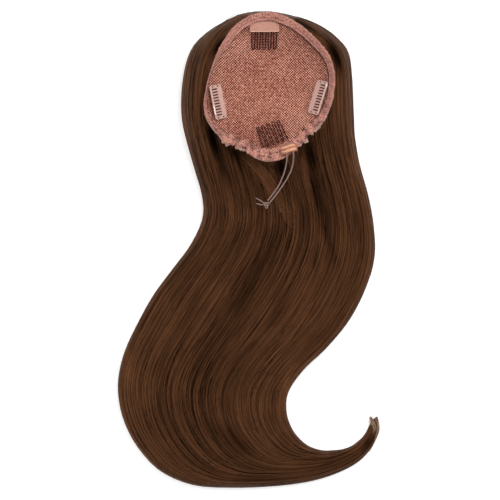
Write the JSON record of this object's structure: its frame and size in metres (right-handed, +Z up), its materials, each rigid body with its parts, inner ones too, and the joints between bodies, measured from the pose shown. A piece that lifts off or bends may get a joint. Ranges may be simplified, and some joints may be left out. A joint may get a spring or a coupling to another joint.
{
  "type": "ponytail hairpiece",
  "caption": "Drawstring ponytail hairpiece lying on its back: open net cap with a gathered rim, sewn-in combs and a knotted cord, over long brown S-shaped hair.",
  "frame": {"origin": "bottom centre of the laid hairpiece, measured without its drawstring; the hair's flat underside is z = 0", "axes": "+Y from the tail towards the front of the cap, +Z up out of the open cap, +X to the right seen from above"},
  "size_m": [0.2816, 0.5134, 0.0541],
  "materials": {
    "hair": "glossy fibre",
    "net": "matte net",
    "casing": "matte knit",
    "pad": "matte felt",
    "ribbon": "woven satin",
    "cord": "twisted cord",
    "comb_wire": "dark lacquer",
    "comb_plastic": "clear, slightly frosted"
  },
  "bodies": {
    "root": {"hair": "hair", "cap_net": "net", "rim_band": "casing", "comb_top": "comb_wire", "comb_top_pad": "pad", "comb_bottom": "comb_wire", "comb_left": "comb_plastic", "comb_right": "comb_plastic", "cord_tunnel": "ribbon", "drawstring_left": "cord", "drawstring_right": "cord", "drawstring_knot": "cord"}
  },
  "joints": []
}
